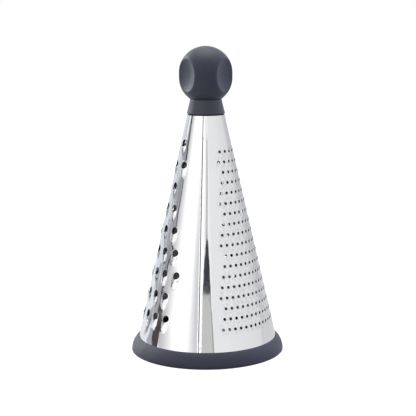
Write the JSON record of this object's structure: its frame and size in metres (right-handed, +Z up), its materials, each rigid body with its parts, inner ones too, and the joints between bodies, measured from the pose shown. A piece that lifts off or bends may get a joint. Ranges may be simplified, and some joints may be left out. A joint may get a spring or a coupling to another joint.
{
  "type": "conical grater",
  "caption": "Conical hand grater: a rolled steel cone with coarse, medium and fine grating zones, a soft base ring, a flared collar and a soft dimpled ball knob.",
  "frame": {"origin": "on the table under the cone's axis, at the middle of the base ring's underside", "axes": "+Z up along the cone's axis, -Y towards the sheet's seam, coarse zone towards -X and -Y, fine zone towards +X and -Y"},
  "size_m": [0.12, 0.12, 0.2379],
  "materials": {
    "steel_sheet": "mirror-polished stainless sheet",
    "rigid_plastic": "moulded charcoal plastic",
    "soft_plastic": "satin charcoal plastic",
    "soft_rubber": "soft-touch charcoal",
    "brass_insert": "turned",
    "zinc_steel": "bright zinc"
  },
  "bodies": {
    "root": {"cone_shell": "steel_sheet", "base_carrier": "rigid_plastic", "base_grip_ring": "soft_rubber", "top_plug": "rigid_plastic", "collar": "soft_plastic", "knob_core": "rigid_plastic", "knob_grip": "soft_rubber", "thread_insert": "brass_insert", "washer": "zinc_steel", "screw": "zinc_steel"}
  },
  "joints": []
}
